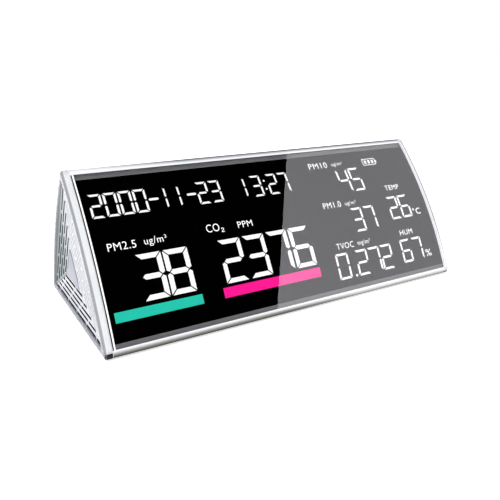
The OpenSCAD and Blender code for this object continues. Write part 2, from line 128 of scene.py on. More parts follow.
class Shader:
    """A material built from nodes, with its Principled BSDF ready."""

    def __init__(self, name):
        self.material = bpy.data.materials.new(name)
        self.material.use_nodes = True
        self.tree = self.material.node_tree
        self.bsdf = self.tree.nodes["Principled BSDF"]
        self.place = self.node("ShaderNodeTexCoord").outputs["Object"]

    def node(self, kind, **inputs):
        made = self.tree.nodes.new(kind)
        self.fill(made, inputs)
        return made

    def fill(self, target, inputs):
        """Links sockets and sets constants; an underscore in a key stands for a space."""
        for key, value in inputs.items():
            if isinstance(value, bpy.types.NodeSocket):
                self.tree.links.new(value, target.inputs[key.replace("_", " ")])
            else:
                target.inputs[key.replace("_", " ")].default_value = value

    def set(self, **inputs):
        self.fill(self.bsdf, inputs)

    def noise(self, scale, detail=4.0, rough=0.5, stretch=None):
        vector = self.place
        if stretch:
            vector = self.node("ShaderNodeMapping", Vector=vector, Scale=stretch).outputs[0]
        return self.node(
            "ShaderNodeTexNoise", Vector=vector, Scale=scale, Detail=detail, Roughness=rough
        ).outputs["Fac"]

    def colours(self, factor, stops):
        """Colours along a factor; stops are (position, colour)."""
        made = self.node("ShaderNodeValToRGB", Fac=factor)
        elements = made.color_ramp.elements
        while len(elements) < len(stops):
            elements.new(0.5)
        for element, (position, color) in zip(elements, stops):
            element.position = position
            element.color = (*color, 1)
        return made.outputs["Color"]

    def ramp(self, factor, low, high, start=0.3, end=0.7):
        return self.colours(factor, ((start, low), (end, high)))

    def math(self, operation, a, b=None):
        made = self.tree.nodes.new("ShaderNodeMath")
        made.operation = operation
        for socket, value in zip(made.inputs, (a, b)):
            if isinstance(value, bpy.types.NodeSocket):
                self.tree.links.new(value, socket)
            elif value is not None:
                socket.default_value = value
        return made.outputs[0]

    def axes(self, vector=None):
        """The X, Y and Z of a vector; of the point being shaded, if none is given."""
        return self.node("ShaderNodeSeparateXYZ", Vector=vector or self.place).outputs

    def normal(self):
        """The X, Y and Z of the surface's outward direction."""
        return self.axes(self.node("ShaderNodeNewGeometry").outputs["Normal"])

    def between(self, value, start, stop, low=0.0, high=1.0):
        """Runs from low, where the value is at start, to high at stop, and stays level outside them."""
        return self.node(
            "ShaderNodeMapRange", Value=value, From_Min=start, From_Max=stop, To_Min=low, To_Max=high
        ).outputs[0]

    def value(self, factor, low, high):
        """A factor from 0 to 1, stretched to run from low to high."""
        return self.between(factor, 0.0, 1.0, low, high)

    def bump(self, height, distance, strength=1.0):
        self.set(Normal=self.node(
            "ShaderNodeBump", Height=height, Distance=distance, Strength=strength
        ).outputs[0])
        return self

    def mix(self, factor, a, b):
        """Colour a where the factor is 0, and b where it is 1."""
        made = self.tree.nodes.new("ShaderNodeMix")
        made.data_type = "RGBA"
        for socket, value in ((made.inputs[0], factor), (made.inputs[6], a), (made.inputs[7], b)):
            if isinstance(value, bpy.types.NodeSocket):
                self.tree.links.new(value, socket)
            elif isinstance(value, float):
                socket.default_value = value
            else:
                socket.default_value = (*value, 1)
        return made.outputs[2]


def rim_shade(s, start, end):
    """Painted shade for clear plastic, from face on (0) to edge on (1): 0 before start, 1 past end."""
    facing = s.node("ShaderNodeLayerWeight", Blend=0.5).outputs["Facing"]
    return s.between(facing, start, end)


def srgb(r, g, b):
    """A colour given as 0 to 255 display values, in linear light."""
    return tuple(
        (c / 255 / 12.92) if c <= 10 else ((c / 255 + 0.055) / 1.055) ** 2.4 for c in (r, g, b)
    )


def moulded(name, color, roughness, grain=1500, relief=0.02, mottle=0.05, **extra):
    """Moulded plastic: a slight colour drift, uneven gloss and a fine grain, relief in millimetres."""
    s = Shader(name)
    drift = s.noise(90, 3)
    dark = tuple(c * (1 - mottle) for c in color)
    s.set(
        Base_Color=s.ramp(drift, dark, color),
        Roughness=s.value(s.noise(240, 5), roughness * 0.85, roughness * 1.15),
        **extra,
    )
    return s.bump(s.noise(grain, 2), relief * MM, 0.6).material


def metal(name, color, roughness, brush=(1, 30, 30), relief=0.01):
    """Metal with a faint stain and fine brushed streaks, longest along the axis with least brush."""
    s = Shader(name)
    streak = s.noise(900, 3, 0.6, stretch=brush)
    stain = s.noise(120, 4)
    s.set(
        Metallic=1.0,
        Base_Color=s.ramp(stain, tuple(c * 0.88 for c in color), color),
        Roughness=s.value(streak, roughness * 0.75, roughness * 1.3),
    )
    return s.bump(streak, relief * MM, 0.5).material


def clear_plastic(name, tint, roughness, index, wave):
    """Polished clear plastic with a very slight moulding waviness. wave is in millimetres."""
    s = Shader(name)
    s.set(
        Base_Color=s.ramp(s.noise(60, 2), tuple(c * 0.985 for c in tint), tint),
        Roughness=s.value(s.noise(400, 3), roughness * 0.5, roughness * 1.5),
        IOR=index,
        Transmission_Weight=1.0,
    )
    return s.bump(s.noise(70, 1), wave * MM, 0.5).material


# the painted shade line along each frame's rounded front ridge: centre, half its width, colour
FRAME_RIDGE_SHADE_LINES = (
    (RIGHT - 1.1 * MM, 0.6 * MM, (0.1, 0.105, 0.12)),
    (LEFT + 0.5 * MM, 0.42 * MM, (0.26, 0.265, 0.29)),
)


def frame_plastic():
    """Clear plastic with a trace of milkiness; the strip along the base is frosted and speckled.
    Painted shade greys its side faces, its edges where they turn from the eye, and a line along
    each frame's front ridge."""
    s = Shader("clear_frame")
    place, normal = s.axes(), s.normal()
    low = s.math("LESS_THAN", place["Z"], FLOOR + RIM + 0.2 * MM)
    frosted = s.math("MULTIPLY", low, s.math("GREATER_THAN", place["Y"], -0.41 * DEPTH))
    speckle = s.ramp(s.noise(1500, 3, 0.7), (0.1, 0.11, 0.14), (0.6, 0.62, 0.68), 0.4, 0.62)
    side = s.math("GREATER_THAN", s.math("ABSOLUTE", normal["X"]), 0.7)
    front = s.math("LESS_THAN", normal["Y"], -0.3)
    # painted shade: darker as the surface turns edge on to the eye, and grey on the side faces
    clear_tint_with_painted_shade = s.mix(rim_shade(s, 0.6, 0.9), (0.97, 0.98, 1.0), (0.3, 0.31, 0.34))
    clear_tint_with_painted_shade = s.mix(side, clear_tint_with_painted_shade, (0.55, 0.57, 0.6))
    fade = s.between(place["Z"], FLOOR + 0.15 * HEIGHT, FLOOR + 0.4 * HEIGHT, 0.55, 1.0)
    lines = []
    # a painted shade line along each frame's front ridge
    for centre, half, tone in FRAME_RIDGE_SHADE_LINES:
        away = s.math("ABSOLUTE", s.math("SUBTRACT", place["X"], centre))
        line = s.math("MULTIPLY", s.math("LESS_THAN", away, half), front)
        # only the right frame's line fades downwards
        strength = s.math("MULTIPLY", line, fade if centre > 0 else 1.0)
        clear_tint_with_painted_shade = s.mix(strength, clear_tint_with_painted_shade, tone)
        lines.append(line)
    lined = s.math("MULTIPLY", s.math("MAXIMUM", *lines), 0.5)
    opaque = s.math("MAXIMUM", s.math("MULTIPLY", frosted, 0.4), lined)
    clearness = s.math("ADD", s.value(side, 0.6, 0.74), s.value(front, 0.0, -0.1))
    gloss = s.value(s.noise(400, 3), 0.005, 0.02)
    s.set(
        Base_Color=s.mix(frosted, clear_tint_with_painted_shade, speckle),
        Roughness=s.math("ADD", s.math("MULTIPLY", frosted, 0.4), gloss),
        Transmission_Weight=s.math("SUBTRACT", clearness, opaque),
        IOR=1.49,
    )
    return s.bump(s.noise(70, 1), 0.004 * MM, 0.5).material


def lit(name, color, strength=1.0, body=0.3):
    """A lit display segment: even, with a trace of the diffuser's unevenness. body is the share of its
    colour that it also shows by the room's light."""
    s = Shader(name)
    glow = s.ramp(s.noise(160, 2), tuple(c * 0.94 for c in color), color)
    s.set(
        Base_Color=(*(c * body for c in color), 1), Roughness=0.7, Specular_IOR_Level=0.0,
        Emission_Color=glow, Emission_Strength=strength,
    )
    return s.material


def circuit_board():
    """Green solder mask over copper tracks, with vias."""
    s = Shader("circuit_board")
    tracks = s.node("ShaderNodeTexBrick", Vector=s.place, Scale=420.0, Mortar_Size=0.03)
    vias = s.node("ShaderNodeTexVoronoi", Vector=s.place, Scale=260.0).outputs["Distance"]
    via_mask = s.ramp(vias, (1, 1, 1), (0, 0, 0), 0.08, 0.12)
    mask = s.mix(tracks.outputs["Fac"], (0.004, 0.055, 0.022), (0.012, 0.13, 0.05))
    s.set(
        Base_Color=s.mix(via_mask, mask, (0.62, 0.5, 0.28)),
        Roughness=s.value(s.noise(500, 3), 0.22, 0.38), Coat_Weight=0.4, Coat_Roughness=0.15,
    )
    return s.bump(tracks.outputs["Fac"], 0.02 * MM, 0.5).material


def woven(name, color):
    """A plain weave: two crossing sets of ridges about 3 mm apart."""
    s = Shader(name)
    waves = []
    for axis in ("X", "Y"):
        wave = s.node("ShaderNodeTexWave", Vector=s.place, Scale=100.0, Distortion=0.4)
        wave.bands_direction = axis
        waves.append(wave.outputs["Fac"])
    weave = s.math("MAXIMUM", *waves)
    s.set(Base_Color=s.ramp(weave, tuple(c * 0.6 for c in color), color), Roughness=0.85)
    return s.bump(weave, 0.05 * MM, 0.8).material


def polished_bar():
    """The polished pale rails, with painted shade: the top one darkens towards the ridge, less so at
    its left end, and is grey behind it; the front one darkens to black towards the base, less so to
    the right."""
    s = Shader("polished_bar")
    place, normal = s.axes(), s.normal()
    # painted shade: the front rail darkens to black towards the base, less so to the right
    below = s.between(place["Z"], front_point(0, ARC - WINDOW_TO).z, FLOOR)
    fall = s.between(place["X"], -12 * MM, 30 * MM, 1.0, 0.54)
    lower = s.colours(s.math("MULTIPLY", below, fall), (
        (0.09, (0.69, 0.7, 0.72)), (0.19, (0.54, 0.54, 0.55)), (0.28, (0.36, 0.355, 0.35)),
        (0.39, (0.22, 0.21, 0.205)), (0.51, (0.135, 0.127, 0.12)), (0.67, (0.078, 0.07, 0.066)),
        (0.77, (0.014, 0.013, 0.013)),
    ))
    # painted shade: the top rail darkens towards the ridge, less so at its left end
    rise = s.between(place["Z"], front_point(0, WINDOW_FROM).z, RAIL_TOP)
    pale = s.between(place["X"], LEFT + 10 * MM, LEFT + 56 * MM, 0.5, 1.0)
    upper = s.colours(s.math("MULTIPLY", rise, pale), (
        (0.3, (0.68, 0.69, 0.71)), (0.55, (0.45, 0.46, 0.48)), (0.75, (0.27, 0.28, 0.3)),
        (0.9, (0.12, 0.125, 0.135)), (0.99, (0.045, 0.047, 0.05)),
    ))
    high = s.math("GREATER_THAN", place["Z"], FLOOR + 0.5 * HEIGHT)
    # painted shade: grey where the top rail faces backwards
    painted_rear_shade = s.between(normal["Y"], 0.02, 0.3)
    bare = s.math("MULTIPLY", s.math("SUBTRACT", 1.0, below), s.math("SUBTRACT", 1.0, rise))
    along = (0.05, 1, 1)
    s.set(
        Base_Color=s.mix(painted_rear_shade, s.mix(high, lower, upper), (0.09, 0.095, 0.1)),
        Roughness=s.value(s.noise(700, 3, stretch=along), 0.1, 0.2), Specular_IOR_Level=0.0,
        Coat_Weight=s.math("MULTIPLY", s.value(s.noise(60, 2), 0.5, 0.6), bare), Coat_Roughness=0.03,
    )
    return s.bump(s.noise(500, 2, stretch=along), 0.005 * MM, 0.4).material


def silver_grille():
    """Black plastic, silver on its flat faces. Slot walls that slant upwards are silver as a painted
    highlight; the other walls stay black, as plastic and as painted shade in the slots. The sector
    towards the back is a darker grey."""
    s = Shader("silver_grille")
    place, normal = s.axes(), s.normal()
    flat = s.math("GREATER_THAN", s.math("ABSOLUTE", normal["X"]), 0.7)
    # painted highlight: slot walls that slant upwards count as lit and get silver; the rest stay black
    # as painted shade
    slant = s.math("ADD", normal["Z"], s.math("ABSOLUTE", normal["Y"]))
    silver_faces_and_lit_walls = s.math("MAXIMUM", flat, s.math("GREATER_THAN", slant, 1.15))
    flake = s.node("ShaderNodeTexVoronoi", Vector=s.place, Scale=4200.0)
    tone = s.ramp(flake.outputs["Color"], (0.47, 0.48, 0.53), (0.6, 0.61, 0.66), 0.2, 0.9)
    # the line between the sectors along the base and towards the back
    sector_edge = s.between(place["Y"], 0.0, DEPTH / 2, FLOOR + HEIGHT / 3, FLOOR)
    above = s.math("GREATER_THAN", place["Z"], sector_edge)
    behind = s.math("MULTIPLY", s.between(place["Y"], -4 * MM, 16 * MM), above)
    face = s.mix(s.math("MULTIPLY", behind, 0.9), tone, (0.13, 0.17, 0.175))
    # walls that count as lit get a brighter painted highlight than the flat faces
    silver = s.mix(flat, (0.88, 0.89, 0.92), face)
    bright = s.math("MULTIPLY", silver_faces_and_lit_walls, s.math("SUBTRACT", 1.0, behind))
    s.set(
        Base_Color=s.mix(silver_faces_and_lit_walls, (0.006, 0.006, 0.007), silver),
        Metallic=s.math("MULTIPLY", bright, 0.12), Coat_Weight=s.math("MULTIPLY", bright, 0.2),
        Coat_Roughness=0.1, Specular_IOR_Level=0.05, Roughness=s.value(s.noise(600, 4), 0.24, 0.42),
    )
    return s.bump(flake.outputs["Distance"], 0.006 * MM, 0.5).material


# ---------- mesh helpers ----------

SMOOTH_BELOW = 30                        # degrees between two faces


def add_mesh(name, vertices, faces, material):
    mesh = bpy.data.meshes.new(name)
    mesh.from_pydata([tuple(v) for v in vertices], [], faces)
    mesh.materials.append(material)
    obj = bpy.data.objects.new(name, mesh)
    scene.collection.objects.link(obj)
    tidy(obj)
    return obj


def tidy(obj):
    """Merges doubled points, turns every face outwards and shades smooth where faces turn little."""
    bm = bmesh.new()
    bm.from_mesh(obj.data)
    bmesh.ops.remove_doubles(bm, verts=bm.verts, dist=1e-7)
    bmesh.ops.recalc_face_normals(bm, faces=bm.faces)
    bm.to_mesh(obj.data)
    bm.free()
    obj.data.polygons.foreach_set("use_smooth", [True] * len(obj.data.polygons))
    obj.data.set_sharp_from_angle(angle=math.radians(SMOOTH_BELOW))


def section_outline(inset=0.0, arc_steps=40, corner_steps=10, base_steps=30):
    """The section's outline in (y, z), moved in by inset. Any inset gives the same number of points."""
    r = max(EDGE_R - inset, 0.4 * MM)
    big = BOW_R - inset
    low = FLOOR + inset + r

    def corner_centre(side):
        c = bow_centre(side)
        return Vector((c.x + side * math.sqrt((big - r) ** 2 - (low - c.y) ** 2), low))

    c = bow_centre(1)
    top = Vector((0, c.y + math.sqrt((big - r) ** 2 - c.x ** 2)))
    front, back = corner_centre(-1), corner_centre(1)

    def angle(a, b):
        return math.atan2(b.y - a.y, b.x - a.x)

    def arc(centre, radius, start, stop, steps):
        stop = start + (stop - start + math.pi) % (2 * math.pi) - math.pi
        return [
            centre + radius * Vector((math.cos(t), math.sin(t)))
            for t in (start + (stop - start) * k / steps for k in range(steps + 1))
        ]

    points = []
    for side, first, last in ((-1, front, top), (1, top, back)):
        centre = bow_centre(side)
        a, b = angle(centre, first), angle(centre, last)
        points += arc(centre, big, a, b, arc_steps)
        if side < 0:
            points += arc(top, r, b, angle(bow_centre(1), top), corner_steps)[1:-1]
    points += arc(back, r, angle(bow_centre(1), back), -math.pi / 2, corner_steps)[1:]
    start = Vector((back.x, FLOOR + inset))
    stop = Vector((front.x, FLOOR + inset))
    points += [start.lerp(stop, k / base_steps) for k in range(1, base_steps)]
    points += arc(front, r, -math.pi / 2, angle(bow_centre(-1), front), corner_steps)[:-1]
    return points


def ring_faces(count, size, closed):
    """Quads between neighbours of count rings of size points; closed joins the last to the first."""
    return [
        (a * size + k, a * size + (k + 1) % size, b * size + (k + 1) % size, b * size + k)
        for a, b in ((n, (n + 1) % count) for n in range(count if closed else count - 1))
        for k in range(size)
    ]


def ring_solid(name, rings, material, closed=False):
    """A solid through rings of points: either joined end to end, or with a cap on each end."""
    count, size = len(rings), len(rings[0])
    faces = ring_faces(count, size, closed)
    if not closed:
        faces += [tuple(range(size)), tuple(range((count - 1) * size, count * size))]
    return add_mesh(name, [p for ring in rings for p in ring], faces, material)


def loft(name, outlines, material, closed=False):
    """A solid through outlines given as (x, points in y and z)."""
    rings = [[Vector((x, p.x, p.y)) for p in points] for x, points in outlines]
    return ring_solid(name, rings, material, closed)


def on_face(name, flat, material, depth=INK, step=1.5 * MM):
    """Cuts a flat bmesh, drawn in x (from the left end) and y (minus s), into bands about a step high
    and bends it onto the front face."""
    low = min(v.co.y for v in flat.verts)
    high = max(v.co.y for v in flat.verts)
    cuts = max(1, int((high - low) / step))
    for k in range(1, cuts):
        cut_at = low + (high - low) * k / cuts
        bmesh.ops.bisect_plane(
            flat, geom=flat.verts[:] + flat.edges[:] + flat.faces[:], dist=0.002 * MM,
            plane_co=(0, cut_at, 0), plane_no=(0, 1, 0),
        )
    bmesh.ops.dissolve_degenerate(flat, dist=0.001 * MM, edges=flat.edges[:])
    for v in flat.verts:
        v.co = front_point(v.co.x, -v.co.y, depth)
    mesh = bpy.data.meshes.new(name)
    flat.to_mesh(mesh)
    flat.free()
    mesh.materials.append(material)
    obj = bpy.data.objects.new(name, mesh)
    scene.collection.objects.link(obj)
    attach(obj, "housing")


def polygons(shapes):
    """A flat bmesh of polygons given in (x, s) millimetres."""
    flat = bmesh.new()
    for shape in shapes:
        face = flat.faces.new([flat.verts.new((x * MM, -s * MM, 0)) for x, s in shape])
        if face.normal.z < 0:
            face.normal_flip()
    return flat


def box_shape(left, top, right, bottom):
    return [(left, top), (right, top), (right, bottom), (left, bottom)]


# ---------- seven-segment figures and legends ----------

# which segments each figure lights: a top, b upper right, c lower right, d bottom, e lower left,
# f upper left, g middle; x and y are the two halves of a 1, in the middle of its place
SEGMENTS = {
    "0": "abcdef", "2": "abged", "3": "abgcd", "4": "fgbc", "5": "afgcd",
    "6": "afgedc", "7": "abc", "8": "abcdefg", "1": "xy",
}


def segment_shapes(figure, left, top, width, height, stroke):
    """The lit segments of one figure as polygons in (x, s) millimetres."""
    right, bottom, middle = left + width, top + height, top + height / 2
    gap = max(0.33, 0.17 + stroke * 0.08)
    half = stroke / 2
    near, far = left + stroke + gap, right - stroke - gap
    shapes = {
        "a": [(left + gap, top), (right - gap, top), (far, top + stroke), (near, top + stroke)],
        "d": [
            (near, bottom - stroke), (far, bottom - stroke),
            (right - gap, bottom), (left + gap, bottom),
        ],
        "g": [
            (left + gap + half, middle), (near, middle - half), (far, middle - half),
            (right - gap - half, middle), (far, middle + half), (near, middle + half),
        ],
    }
    uprights = {
        "f": (left, top, 1), "e": (left, bottom, 1), "b": (right, top, -1), "c": (right, bottom, -1),
    }
    for name, (edge, end, inward) in uprights.items():
        toward = 1 if end == top else -1
        shapes[name] = [
            (edge, end + toward * gap),
            (edge + inward * stroke, end + toward * (stroke + gap)),
            (edge + inward * stroke, middle - toward * (half + gap)),
            (edge + inward * half, middle - toward * gap),
            (edge, middle - toward * (half * 0.6 + gap)),
        ]
    centre = left + width / 2
    thin = 0.42 * stroke
    for name, end in (("x", top), ("y", bottom)):
        toward = 1 if end == top else -1
        shapes[name] = [
            (centre - thin, end + toward * stroke), (centre + thin, end + toward * stroke * 1.3),
            (centre + thin, middle - toward * (half + gap)), (centre, middle - toward * gap),
            (centre - thin, middle - toward * (half + gap)),
        ]
    return [shapes[name] for name in SEGMENTS[figure]]


def dash_shape(left, middle, length, stroke):
    """A level bar with round ends."""
    r = stroke / 2
    shape = []
    for x, start in ((left + length - r, -90), (left + r, 90)):
        for turn in range(start, start + 181, 30):
            t = math.radians(turn)
            shape.append((x + r * math.cos(t), middle + r * math.sin(t)))
    return shape


def disc_shape(x, s, r, steps=16):
    turns = [2 * math.pi * k / steps for k in range(steps)]
    return [(x + r * math.cos(t), s + r * math.sin(t)) for t in turns]


def figures(name, text, left, top, width, pitch, height, stroke, material):
    """A row of figures; a dash, colon or point takes its own narrower place."""
    shapes = []
    x = left
    for mark in text:
        if mark == "-":
            shapes.append(dash_shape(x, top + height / 2, 0.8 * width, stroke * 1.15))
            x += 0.9 * width
        elif mark == ":":
            for level in (0.3, 0.7):
                shapes.append(disc_shape(x + 0.2 * width, top + level * height, stroke * 0.55))
            x += 0.45 * width
        elif mark == ".":
            shapes.append(disc_shape(x + 0.3 * width, top + height - stroke * 0.6, stroke * 0.6))
            x += 0.52 * width
        else:
            shapes += segment_shapes(mark, x, top, width, height, stroke)
            x += pitch
    on_face(name, polygons(shapes), material)


def legend(name, text, left, top, right, bottom, material, weight):
    """A word or unit in plain sans letters, fitted to a box in (x, s) millimetres; weight, above or
    below 0, makes the strokes of a size 1 letter that much bolder or finer on each side."""
    curve = bpy.data.curves.new(name, "FONT")
    curve.body = text
    curve.space_character = 1.08
    curve.offset = weight
    curve.resolution_u = 3
    holder = bpy.data.objects.new(name + "_outline", curve)
    scene.collection.objects.link(holder)
    bpy.context.view_layer.update()
    drawn = bpy.data.meshes.new_from_object(holder.evaluated_get(bpy.context.evaluated_depsgraph_get()))
    bpy.data.objects.remove(holder)
    flat = bmesh.new()
    flat.from_mesh(drawn)
    low_x, high_x = min(v.co.x for v in flat.verts), max(v.co.x for v in flat.verts)
    low_y, high_y = min(v.co.y for v in flat.verts), max(v.co.y for v in flat.verts)
    for v in flat.verts:
        across = (v.co.x - low_x) / (high_x - low_x)
        up = (v.co.y - low_y) / (high_y - low_y)
        v.co = Vector((left + across * (right - left), up * (bottom - top) - bottom, 0)) * MM
    bpy.data.meshes.remove(drawn)
    on_face(name, flat, material, step=1 * MM)


# ---------- materials ----------

clear = frame_plastic()
window_glass = clear_plastic("window_glass", (0.98, 0.98, 0.99), 0.008, 1.5, 0.0005)
bar = polished_bar()
silver = silver_grille()
shell = moulded("white_shell", (0.54, 0.545, 0.555), 0.38, 1800, 0.03)
white_light = lit("white_segments", (1, 1, 1), 1.0, 0.2)
label_light = lit("white_labels", (1, 1, 1), 1.25, 0.2)
teal_light = lit("teal_bar", srgb(45, 210, 185), 0.75)
pink_light = lit("pink_bar", srgb(255, 30, 150), 0.85)
black_film = moulded("black_film", (0.0006, 0.0006, 0.0007), 0.5, 900, 0.002, Specular_IOR_Level=0.0)
grey_margin = moulded("grey_margin", srgb(132, 131, 134), 0.45, 1200, 0.004)
black_seal_and_shadow_line = moulded("seal_rubber_and_painted_shadow", (0.002, 0.002, 0.0024), 0.6, 1500, 0.02, Specular_IOR_Level=0.06)
inlay_grey = moulded("inlay_paint", (0.27, 0.27, 0.34), 0.4, 1600, 0.02)
seal_white = moulded("seal_white", (0.86, 0.87, 0.88), 0.4, 1500, 0.01)

CAD_MATERIALS = {
    "clear": clear,
    "silver_plate": silver,
    "clear_bar": bar,
    "white_shell": shell,
    "window": window_glass,
    "black_film": black_film,
    "grey_margin": grey_margin,
    "rubber": moulded("foot_rubber", (0.012, 0.012, 0.013), 0.75, 1400, 0.06),
    "steel": metal("screw_steel", (0.58, 0.58, 0.6), 0.3),
    "lcd_glass": moulded("lcd_glass", (0.06, 0.07, 0.075), 0.12, 600, 0.002, Coat_Weight=0.6),
    "white_sheet": moulded("diffuser_sheet", (0.86, 0.86, 0.85), 0.6, 2200, 0.02),
    "white_tray": moulded("tray_plastic", (0.7, 0.7, 0.69), 0.45, 1600, 0.03),
    "led": moulded("led_phosphor", (0.85, 0.72, 0.28), 0.3, 900, 0.01, Coat_Weight=0.5),
    "flex": moulded("polyimide_ribbon", (0.42, 0.16, 0.02), 0.25, 800, 0.004, Coat_Weight=0.4),
    "board": circuit_board(),
    "chip": moulded("chip_epoxy", (0.018, 0.018, 0.019), 0.55, 2600, 0.02),
    "black_plastic": moulded("black_plastic", (0.014, 0.014, 0.015), 0.42, 1500, 0.03),
    "tin_can": metal("tinned_can", (0.62, 0.62, 0.6), 0.28, (1, 12, 12)),
    "gold_can": metal("gold_plating", (0.74, 0.52, 0.18), 0.24, (8, 1, 8)),
    "filter": woven("filter_membrane", (0.85, 0.85, 0.82)),
    "key": moulded("key_cap", (0.38, 0.385, 0.4), 0.3, 1500, 0.02, Coat_Weight=0.3),
    "cell_wrap": moulded("cell_sleeve", (0.01, 0.055, 0.22), 0.22, 500, 0.01, Coat_Weight=0.5),
    "contact": metal("nickel_contact", (0.66, 0.6, 0.45), 0.25),
    "brass": metal("turned_brass", (0.66, 0.46, 0.16), 0.22, (30, 1, 1)),
    "motor": metal("motor_paint", (0.09, 0.09, 0.1), 0.4),
}


def repaint_cad():
    slot_of = {part["node"]: part["material_slot"] for part in frame["record"]["subparts"]}
    for node, obj in frame["nodes"].items():
        finish = CAD_MATERIALS[slot_of[node]]
        if not obj.data.materials:
            obj.data.materials.append(finish)
        for k in range(len(obj.material_slots)):
            obj.material_slots[k].material = finish


repaint_cad()

# ---------- end frames ----------

LEDGE = 1.2 * MM                         # how far a grille reaches behind the rim
RECESS = 0.8 * MM                        # how far a grille lies inside the outer face
LEFT_ROUND, RIGHT_ROUND = 1.3 * MM, 1.5 * MM   # rounding of each frame's outer edge
BOND = 0.2 * MM                          # thickness of the white bonding ring between frame and body
PAD_STEPS = (600, 14, 120)               # outline steps along the bowed sides, corners and base


def end_frame(name, node, outer_x, inward, rounding):
    """A clear rim with a rounded outer edge and a pocket behind it; inward is +1 at the left end."""
    back = FRAME_X - BOND
    profile = [(back, EASE), (back - EASE, 0.0)]
    for k in range(9):
        turn = math.pi / 2 * (1 - k / 8)
        profile.append((rounding * (1 - math.cos(turn)), rounding * (1 - math.sin(turn))))
    profile += [(0.0, RIM - 0.35 * MM), (0.1 * MM, RIM - 0.1 * MM), (0.35 * MM, RIM)]
    profile += [(RECESS, RIM), (RECESS, RIM - LEDGE), (back, RIM - LEDGE)]
    outlines = [(outer_x + inward * x, section_outline(inset)) for x, inset in profile]
    obj = loft(name, outlines, clear, closed=True)
    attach(obj, "housing")
    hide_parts(node)


def bonding_ring(name, outer_x, inward):
    """The white ring that holds an end frame to the body and lines the pocket behind its grille."""
    rim = 0.15 * MM
    near = FRAME_X - BOND + 0.01 * MM
    lined = RIM - LEDGE + 0.02 * MM
    inner = lined + 0.4 * MM
    behind_grille = RECESS + 1.45 * MM
    profile = [
        (FRAME_X, rim), (near, rim), (near, lined),
        (behind_grille, lined), (behind_grille, inner), (FRAME_X, inner),
    ]
    outlines = [(outer_x + inward * x, section_outline(inset)) for x, inset in profile]
    obj = loft(name, outlines, seal_white, closed=True)
    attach(obj, "housing")


def rounded_inset(x, rounding):
    """How far the frame's outer surface lies inside its full outline at x from its outer face."""
    return rounding - math.sqrt(max(0, rounding ** 2 - max(0, rounding - x) ** 2))


def corner_pad(name, outer_x, inward, rounding, height):
    """A ridged rubber pad wrapped round the frame's lower front corner."""
    whole = section_outline(0.0, *PAD_STEPS)
    kept = [k for k, p in enumerate(whole) if p.x < -DEPTH / 2 + 6 * MM and p.y < FLOOR + height]
    start = next(k for k in kept if (k - 1) % len(whole) not in kept)
    order = [(start + k) % len(whole) for k in range(len(kept))]
    rings = []
    for x in (0.25, 0.4, 1.0, 1.6, 2.2, 2.8, 3.1, 3.25):
        inset = rounded_inset(x * MM, rounding)
        outer = section_outline(inset - 0.02 * MM, *PAD_STEPS)
        proud = section_outline(inset - 0.14 * MM, *PAD_STEPS)
        inner = section_outline(inset + 0.3 * MM, *PAD_STEPS)
        ends = x in (0.25, 3.25)
        top = [outer[k] if ends or n % 4 < 2 or n < 2 else proud[k] for n, k in enumerate(order)]
        points = top + [inner[k] for k in reversed(order)]
        rings.append([Vector((outer_x + inward * x * MM, p.x, p.y)) for p in points])
    size = len(rings[0])
    faces = ring_faces(len(rings), size, closed=False)
    for first in (0, (len(rings) - 1) * size):
        last = first + size - 1
        faces += [(first + k, first + k + 1, last - 1 - k, last - k) for k in range(size // 2 - 1)]
    obj = add_mesh(name, [p for ring in rings for p in ring], faces, pad_rubber)
    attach(obj, "housing")


def apex_joint(name, outer_x, inward, rounding, reach):
    """The dark parting line across the top of a frame, reaching this far forwards."""
    deep = -0.3 * MM
    back = 0.25 * MM
    sink = EDGE_R - math.sqrt(EDGE_R ** 2 - reach ** 2)
    profile = ((-reach, deep), (-reach, -sink), (0.0, 0.03 * MM), (back, 0.0), (back, deep))
    rings = []
    for n in range(9):
        x = (0.35 + 2.85 * n / 8) * MM
        peak = max(p.y for p in section_outline(rounded_inset(x, rounding)))
        rings.append([(outer_x + inward * x, y, peak + z) for y, z in profile])
    obj = ring_solid(name, rings, pad_rubber)
    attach(obj, "housing")


pad_rubber = moulded("pad_rubber", (0.006, 0.006, 0.007), 0.7, 1800, 0.05, 0.3, Specular_IOR_Level=0.2)
# name, node, outer face, way inwards, rounding, height of the pad, reach of the parting line
ENDS = (
    ("left", "left_end_frame", LEFT, 1, LEFT_ROUND, 2.9 * MM, 0.25 * MM),
    ("right", "right_end_frame", RIGHT, -1, RIGHT_ROUND, 1.5 * MM, 0.7 * MM),
)
for end, node, outer_x, inward, rounding, pad_height, joint_reach in ENDS:
    end_frame(end + "_frame_rim", node, outer_x, inward, rounding)
    bonding_ring(end + "_bonding_ring", outer_x, inward)
    corner_pad(end + "_corner_pad", outer_x, inward, rounding, pad_height)
    apex_joint(end + "_apex_joint", outer_x, inward, rounding, joint_reach)

# ---------- window ----------

def front_layer(s_low, s_high, depth, thickness, steps=60):
    """A slice of the front between two distances from the apex: its outline, as a function of inset."""
    def outline(inset):
        low, high = s_low + inset, s_high - inset
        near, far = depth + inset, depth + thickness - inset
        span = high - low - 2 * EASE
        levels = [low + EASE] + [low + EASE + span * k / steps for k in range(1, steps)] + [high - EASE]
        points = [front_point(0, s, near) for s in levels]
        points += [front_point(0, high, near + EASE), front_point(0, high, far - EASE)]
        points += [front_point(0, s, far) for s in reversed(levels)]
        points += [front_point(0, low, far - EASE), front_point(0, low, near + EASE)]
        return [Vector((p.y, p.z)) for p in points]
    return outline


def bar_solid(name, outline, x_low, x_high, material):
    """A closed bar along X with this outline (a function of inset) and eased ends."""
    ends = ((x_low, EASE), (x_low + EASE, 0), (x_high - EASE, 0), (x_high, EASE))
    return loft(name, [(x, outline(inset)) for x, inset in ends], material)


BODY_LEFT = LEFT + FRAME_X
BODY_RIGHT = RIGHT - FRAME_X


